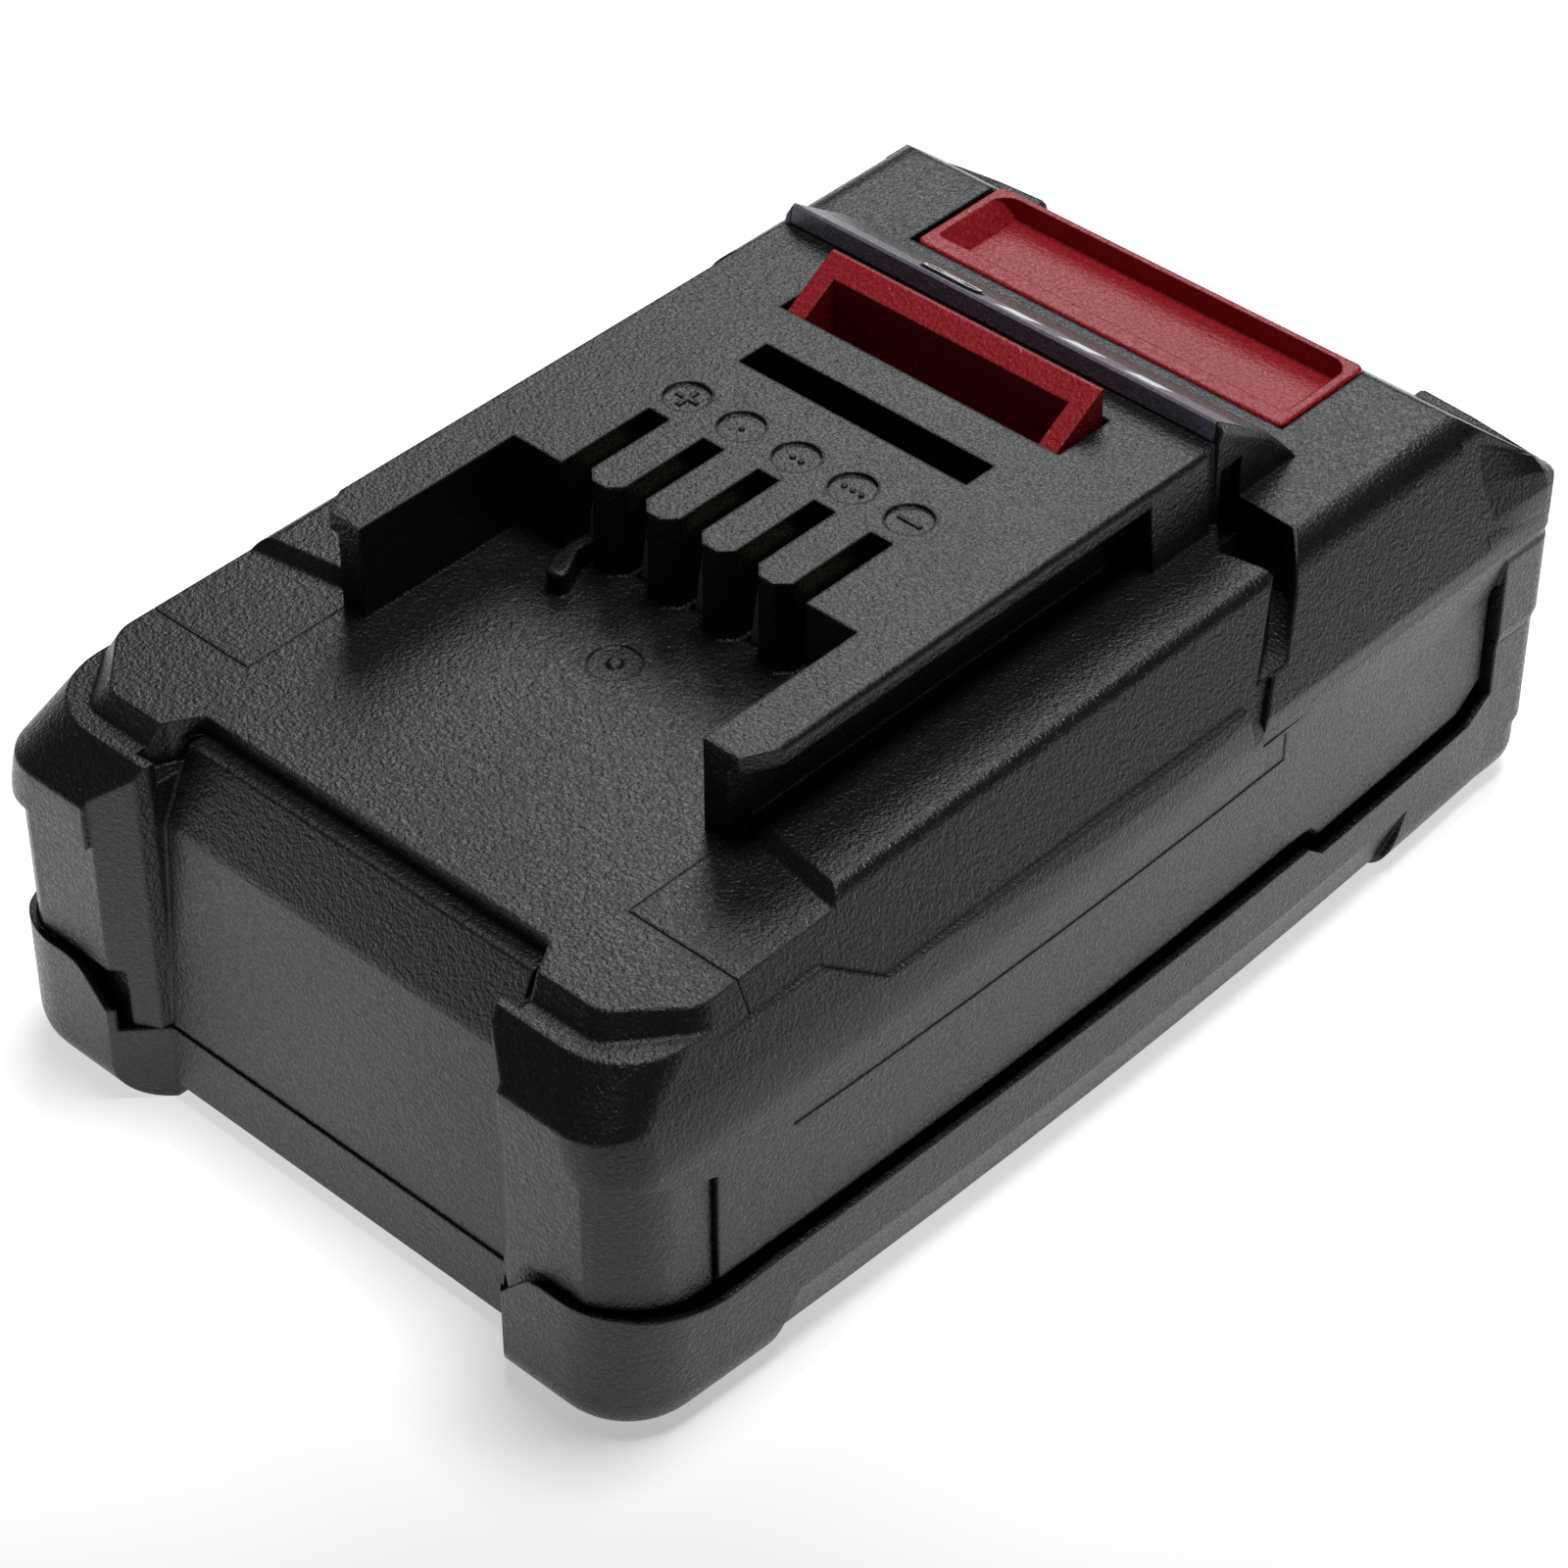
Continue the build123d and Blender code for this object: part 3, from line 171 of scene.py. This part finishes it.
def grain(m, size, depth, strength=1.0):
    """Spark-eroded mould texture: irregular pits and tips of the given size."""
    n1 = m.noise(1.0 / size, 1.0, 0.5)
    n2 = m.noise(0.55 / size, 1.0, 0.5, co=m.mapping(loc=(0.031, 0.012, 0.008)))
    h = m.math("ADD", n1, m.math("MULTIPLY", n2, 0.7))
    m.bump(h, depth, strength)
    return n1


def case_plastic(name, base=(0.0030, 0.0031, 0.0034), tip_glint=(0.018, 0.0184, 0.0192), rough=0.31, size=0.00030, depth=0.000075):
    """Moulded black plastic with a spark-eroded grain: glossier tips, dull pits. The tips are also painted lighter, a
    painted glint standing in for their micro highlights.
    """
    m = Mat(name)
    m.soften(0.00045)
    g = grain(m, size, depth, 1.0)
    blotch = m.noise(38.0, 3.0, 0.6)
    tips = m.noise(1.0 / 0.00027, 1.0, 0.5, co=m.mapping(loc=(0.013, 0.007, 0.021)))
    c1 = m.mix(m.range(blotch, 0.0, 1.0, 0.3, 0.7), tuple(v * 0.8 for v in base), tuple(v * 1.2 for v in base))
    # painted glint: grain tips mixed toward a lighter grey that stands in for their micro highlights; the grain
    # pattern itself is real
    c2 = m.mix(m.range(tips, 0.0, 1.0, 0.52, 0.78), c1, tip_glint)
    m.color(c2)
    r = m.math("ADD", m.range(tips, rough + 0.13, rough - 0.09, 0.34, 0.66), m.range(blotch, -0.02, 0.03, 0.3, 0.7))
    m.rough(r)
    m.set(Specular_IOR_Level=0.5)
    return m.m


def red_plastic(name):
    m = Mat(name)
    m.soften(0.00028)
    g = grain(m, 0.00032, 0.00008, 1.0)
    blotch = m.noise(60.0, 3.0, 0.6)
    tips = m.noise(1.0 / 0.00034, 1.0, 0.5, co=m.mapping(loc=(0.003, 0.017, 0.001)))
    c = m.mix(m.range(blotch, 0.0, 1.0, 0.3, 0.7), (0.285, 0.0040, 0.0098), (0.320, 0.0052, 0.0120))
    # painted glint: grain tips mixed toward a paler red that stands in for their micro highlights
    c = m.mix(m.range(tips, 0.0, 0.8, 0.44, 0.76), c, (0.45, 0.045, 0.058))
    m.color(c)
    m.rough(m.range(tips, 0.42, 0.28, 0.34, 0.66))
    m.set(Specular_IOR_Level=0.42)
    return m.m


def gloss_film(name):
    m = Mat(name)
    streak = m.noise(120.0, 4.0, 0.6, co=m.mapping(scale=(0.25, 1.0, 1.0)))
    c = m.mix(m.range(streak, 0.0, 1.0, 0.35, 0.65), (0.0050, 0.0050, 0.0105), (0.0075, 0.0075, 0.0150))
    m.color(c)
    m.rough(m.range(m.noise(700.0, 2.0), 0.07, 0.13, 0.3, 0.7))
    m.bump(m.noise(160.0, 2.0), 0.00002, 0.25)
    m.set(Specular_IOR_Level=0.55, Coat_Weight=0.35, Coat_Roughness=0.05)
    return m.m


def satin_film(name):
    """Smoked label film: violet grey, fine grain, satin rather than glossy."""
    m = Mat(name)
    grain(m, 0.00030, 0.00005, 0.9)
    tips = m.noise(1.0 / 0.00028, 1.0, 0.5, co=m.mapping(loc=(0.009, 0.004, 0.017)))
    streak = m.noise(90.0, 4.0, 0.6, co=m.mapping(scale=(0.25, 1.0, 1.0)))
    c = m.mix(m.range(streak, 0.0, 1.0, 0.35, 0.65), (0.110, 0.101, 0.135), (0.136, 0.125, 0.166))
    # painted glint: grain tips mixed toward a paler violet grey that stands in for their micro highlights
    c = m.mix(m.range(tips, 0.0, 1.0, 0.50, 0.78), c, (0.215, 0.200, 0.258))
    m.color(c)
    m.rough(m.range(tips, 0.44, 0.30, 0.34, 0.66))
    m.set(Specular_IOR_Level=0.5)
    return m.m


def milky(name):
    m = Mat(name)
    c = m.mix(m.range(m.noise(400.0, 3.0), 0.0, 1.0, 0.3, 0.7), (0.84, 0.85, 0.86), (0.90, 0.91, 0.92))
    m.color(c)
    m.rough(m.range(m.noise(1500.0, 2.0), 0.45, 0.58, 0.3, 0.7))
    m.bump(m.noise(3000.0, 2.0), 0.00001, 0.4)
    return m.m


def metal(name, base, rough, stretch=(1, 1, 1), scale=900.0):
    m = Mat(name)
    n = m.noise(scale, 4.0, 0.6, co=m.mapping(scale=stretch))
    c = m.mix(m.range(n, 0.0, 1.0, 0.3, 0.7), tuple(v * 0.82 for v in base), tuple(min(1, v * 1.1) for v in base))
    m.color(c)
    m.rough(m.range(n, rough - 0.07, rough + 0.1, 0.3, 0.7))
    m.bump(n, 0.00002, 0.35)
    m.set(Metallic=1.0)
    return m.m


def plain_part(name, base, rough, size=0.0003, depth=0.00002, vary=0.12, spec=0.5):
    m = Mat(name)
    g = grain(m, size, depth, 0.7)
    blotch = m.noise(90.0, 3.0, 0.6)
    c = m.mix(m.range(blotch, 0.0, 1.0, 0.3, 0.7), tuple(v * (1 - vary) for v in base), tuple(min(1, v * (1 + vary)) for v in base))
    m.color(c)
    m.rough(m.range(g, rough - 0.06, rough + 0.06, 0.3, 0.7))
    m.set(Specular_IOR_Level=spec)
    return m.m


def board_mat(name):
    m = Mat(name)
    tr = m.voronoi(520.0, "F1")
    n = m.noise(260.0, 3.0, 0.5)
    c = m.mix(m.range(tr, 0.0, 1.0, 0.1, 0.6), (0.012, 0.085, 0.040), (0.018, 0.130, 0.060))
    c = m.mix(m.range(n, 0.0, 1.0, 0.48, 0.52), c, (0.022, 0.150, 0.070))
    m.color(c)
    m.rough(m.range(n, 0.28, 0.42, 0.3, 0.7))
    m.bump(n, 0.00003, 0.5)
    return m.m


def sleeve_mat(name):
    m = Mat(name)
    n = m.noise(220.0, 4.0, 0.55, co=m.mapping(scale=(0.15, 1, 1)))
    c = m.mix(m.range(n, 0.0, 1.0, 0.3, 0.7), (0.010, 0.130, 0.095), (0.014, 0.170, 0.125))
    m.color(c)
    m.rough(m.range(n, 0.22, 0.36, 0.3, 0.7))
    m.bump(n, 0.00004, 0.4)
    return m.m


def paper_mat(name, base):
    m = Mat(name)
    n = m.noise(500.0, 5.0, 0.65, co=m.mapping(scale=(1, 0.3, 0.3)))
    c = m.mix(m.range(n, 0.0, 1.0, 0.3, 0.7), tuple(v * 0.88 for v in base), tuple(v * 1.06 for v in base))
    m.color(c)
    m.rough(m.range(n, 0.45, 0.6, 0.3, 0.7))
    m.bump(n, 0.00003, 0.4)
    return m.m


M = {
    "case_plastic": case_plastic("case_plastic_look"),
    "latch_plastic": red_plastic("latch_plastic_look"),
    "label_film": satin_film("label_film_look"),
    "window_plastic": milky("window_plastic_look"),
    "button_plastic": gloss_film("button_plastic_look"),
    "inner_plastic": plain_part("inner_plastic_look", (0.03, 0.03, 0.034), 0.5),
    "cell_sleeve": sleeve_mat("cell_sleeve_look"),
    "nickel": metal("nickel_look", (0.66, 0.64, 0.58), 0.32, (1, 8, 1)),
    "contact_metal": metal("contact_metal_look", (0.42, 0.36, 0.25), 0.42, (1, 1, 6)),
    "steel": metal("steel_look", (0.52, 0.53, 0.55), 0.34),
    "spring_steel": metal("spring_steel_look", (0.60, 0.60, 0.62), 0.28, (4, 4, 1)),
    "board": board_mat("board_look"),
    "chip": plain_part("chip_look", (0.014, 0.014, 0.015), 0.45, 0.00012, 0.00001),
    "fish_paper": paper_mat("fish_paper_look", (0.36, 0.34, 0.28)),
    "foam": plain_part("foam_look", (0.025, 0.025, 0.027), 0.9, 0.0005, 0.0001, 0.25, 0.2),
    "wire_red": plain_part("wire_red_look", (0.32, 0.012, 0.012), 0.45),
    "wire_black": plain_part("wire_black_look", (0.016, 0.016, 0.016), 0.45),
    "label_paper": paper_mat("label_paper_look", (0.42, 0.43, 0.44)),
}
for sp in frame["record"]["subparts"]:
    o = NODES[sp["node"]]
    o.data.materials.clear()
    o.data.materials.append(M[sp["material_slot"]])


# ---------------------------------------------------------------- mesh helpers
MM = 0.001


def new_obj(name, bm, mat, body):
    me = bpy.data.meshes.new(name)
    bmesh.ops.recalc_face_normals(bm, faces=bm.faces)
    bm.to_mesh(me)
    bm.free()
    o = bpy.data.objects.new(name, me)
    scene.collection.objects.link(o)
    me.materials.append(mat)
    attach(o, body)
    return o


def ring_pts(cx, cy, r, n, start=0.0, end=2 * math.pi):
    return [(cx + r * math.cos(start + (end - start) * i / n), cy + r * math.sin(start + (end - start) * i / n)) for i in range(n)]


def extrude_poly(bm, pts, z0, z1, place=lambda x, y, z: (x, y, z), bevel=0.0):
    """Closed prism with a slightly drawn-in top, from a plan outline in mm."""
    cx = sum(p[0] for p in pts) / len(pts)
    cy = sum(p[1] for p in pts) / len(pts)
    lo = [bm.verts.new(tuple(MM * v for v in place(x, y, z0))) for x, y in pts]
    mid = [bm.verts.new(tuple(MM * v for v in place(x, y, z1 - bevel))) for x, y in pts]
    top = []
    n = len(pts)
    for i, (x, y) in enumerate(pts):
        ax, ay = pts[i - 1]
        bx, by = pts[(i + 1) % n]
        d1 = Vector((x - ax, y - ay)).normalized()
        d2 = Vector((bx - x, by - y)).normalized()
        nn = Vector((-(d1.y + d2.y), d1.x + d2.x))
        if nn.length < 1e-6:
            nn = Vector((-d1.y, d1.x))
        nn.normalize()
        k = bevel / max(0.35, nn.dot(Vector((-d1.y, d1.x))))
        top.append(bm.verts.new(tuple(MM * v for v in place(x + nn.x * k, y + nn.y * k, z1))))
    for a, b in ((lo, mid), (mid, top)):
        for i in range(n):
            bm.faces.new((a[i], a[(i + 1) % n], b[(i + 1) % n], b[i]))
    bm.faces.new(list(reversed(lo)))
    bm.faces.new(top)


def rect(cx, cy, w, h):
    return [(cx - w / 2, cy - h / 2), (cx + w / 2, cy - h / 2), (cx + w / 2, cy + h / 2), (cx - w / 2, cy + h / 2)]


def plus(cx, cy, s, t):
    a, b = s / 2, t / 2
    return [(cx - b, cy - a), (cx + b, cy - a), (cx + b, cy - b), (cx + a, cy - b), (cx + a, cy + b), (cx + b, cy + b),
            (cx + b, cy + a), (cx - b, cy + a), (cx - b, cy + b), (cx - a, cy + b), (cx - a, cy - b), (cx - b, cy - b)]


# raised generic marks in the five round recesses of the deck
REC_Z = 47.55
bm = bmesh.new()
extrude_poly(bm, plus(-12.7, 0.6, 2.5, 0.5), REC_Z - 0.05, REC_Z + 0.16, bevel=0.06)
extrude_poly(bm, rect(12.7, 0.6, 2.5, 0.5), REC_Z - 0.05, REC_Z + 0.16, bevel=0.06)
for k, x in enumerate((-6.35, 0.0, 6.35)):
    for j in range(k + 1):
        extrude_poly(bm, ring_pts(x + (j - k / 2) * 0.95, 0.6, 0.3, 14), REC_Z - 0.05, REC_Z + 0.16, bevel=0.06)
marks = new_obj("deck_marks", bm, M["case_plastic"], "case")

# printed outline and bar on the push button
U = Vector((0.0, 13.47, -9.24)).normalized()
N = Vector((0.0, 9.24, 13.47)).normalized()


def on_slope(x, s, h):
    p = Vector((x, 26.25, 49.90)) + U * s + N * h
    return (p.x, p.y, p.z)


def pill_ring(bm, cx, cs, half, r_out, r_in, h0, h1, n=20):
    rows = []
    for r, h in ((r_out, h0), (r_out, h1), (r_in, h1), (r_in, h0)):
        row = []
        for side in (1, -1):
            for i in range(n + 1):
                a = -math.pi / 2 + math.pi * i / n
                row.append(bm.verts.new(tuple(MM * v for v in on_slope(cx + side * (half + r * math.cos(a)), cs + side * r * math.sin(a), h))))
        rows.append(row)
    k = len(rows[0])
    for a, b in ((0, 1), (1, 2), (2, 3), (3, 0)):
        for i in range(k):
            bm.faces.new((rows[a][i], rows[a][(i + 1) % k], rows[b][(i + 1) % k], rows[b][i]))


bm = bmesh.new()
pill_ring(bm, -7.0, 2.35, 2.22, 0.95, 0.66, 0.24, 0.285)
extrude_poly(bm, [(-8.3, 2.15), (-6.0, 2.15), (-5.7, 2.55), (-8.0, 2.55)], 0.24, 0.285, place=on_slope, bevel=0.01)
new_obj("button_print", bm, M["window_plastic"], "button")

# ---------------------------------------------------------------- camera
AZ, EL = math.radians(42.87), math.radians(40.57)
back = Vector((math.sin(AZ) * math.cos(EL), -math.cos(AZ) * math.cos(EL), math.sin(EL)))
right = Vector((math.cos(AZ), math.sin(AZ), 0.0))
up = back.cross(right)
cam_data = bpy.data.cameras.new("camera")
cam = bpy.data.objects.new("camera", cam_data)
scene.collection.objects.link(cam)
cam.matrix_world = Matrix((
    (right.x, up.x, back.x, 0.21522),
    (right.y, up.y, back.y, -0.23283),
    (right.z, up.z, back.z, 0.28355),
    (0, 0, 0, 1)))
cam_data.lens = 108.02
cam_data.sensor_width = 36.0
cam_data.clip_start = 0.01
cam_data.clip_end = 20.0
scene.camera = cam

# ---------------------------------------------------------------- floor and light
FLOOR_GLOW = 0.62
FRONT_DIM = 0.30
bm = bmesh.new()
S = 3.0
v = [bm.verts.new(p) for p in ((-S, -S, 0), (S, -S, 0), (S, S, 0), (-S, S, 0))]
bm.faces.new(v)
me = bpy.data.meshes.new("floor")
bm.to_mesh(me)
bm.free()
floor = bpy.data.objects.new("floor", me)
scene.collection.objects.link(floor)
fm = Mat("floor_look")
fm.color(fm.mix(fm.noise(6.0, 2.0), (0.84, 0.84, 0.845), (0.87, 0.87, 0.875)))
fm.rough(0.9)
fm.set(Specular_IOR_Level=0.0)
# painted light: the plain pale floor is given an emission glow that lights the walls from below, strongest round the
# object, fading further out and weaker in front
length = fm.node("ShaderNodeVectorMath", operation="LENGTH")
fm.link(fm.co, length.inputs[0])
fade = fm.range(length.outputs["Value"], 1.0, 0.15, 0.24, 0.75)
front = fm.node("ShaderNodeVectorMath", operation="DOT_PRODUCT")
fm.link(fm.co, front.inputs[0])
front.inputs[1].default_value = (0.68, -0.733, 0.0)
dim = fm.range(front.outputs["Value"], 1.0, FRONT_DIM, 0.045, 0.095)
fm.b.inputs["Emission Color"].default_value = (1.0, 1.0, 1.0, 1.0)
glow = fm.math("MULTIPLY", fm.math("MULTIPLY", fade, dim), FLOOR_GLOW)
fm.link(glow, fm.b.inputs["Emission Strength"])
me.materials.append(fm.m)

world = bpy.data.worlds.new("studio")
world.use_nodes = True
wt = world.node_tree
wt.nodes["Background"].inputs["Color"].default_value = (0.93, 0.95, 1.0, 1.0)
wt.nodes["Background"].inputs["Strength"].default_value = 0.058
scene.world = world


def area(name, loc, target, size, power, color=(1, 1, 1), size_y=None):
    d = bpy.data.lights.new(name, "AREA")
    d.energy = power
    d.color = color
    if size_y:
        d.shape = "RECTANGLE"
        d.size, d.size_y = size, size_y
    else:
        d.size = size
    o = bpy.data.objects.new(name, d)
    scene.collection.objects.link(o)
    o.location = loc
    q = (Vector(target) - Vector(loc)).to_track_quat("-Z", "Y")
    o.rotation_euler = q.to_euler()
    return o


area("key_top", (0.05, 0.14, 1.20), (0, 0, 0.03), 0.40, 9.0, (1.0, 0.995, 0.985))
area("back_soft", (-0.57, 0.79, 0.83), (0, 0, 0.03), 0.62, 4.1, (0.97, 0.985, 1.0))
area("side_right", (0.97, 0.56, 0.17), (0, 0, 0.03), 0.34, 0.35, (0.98, 0.99, 1.0))
scene.view_settings.view_transform = "Standard"
scene.view_settings.look = "None"
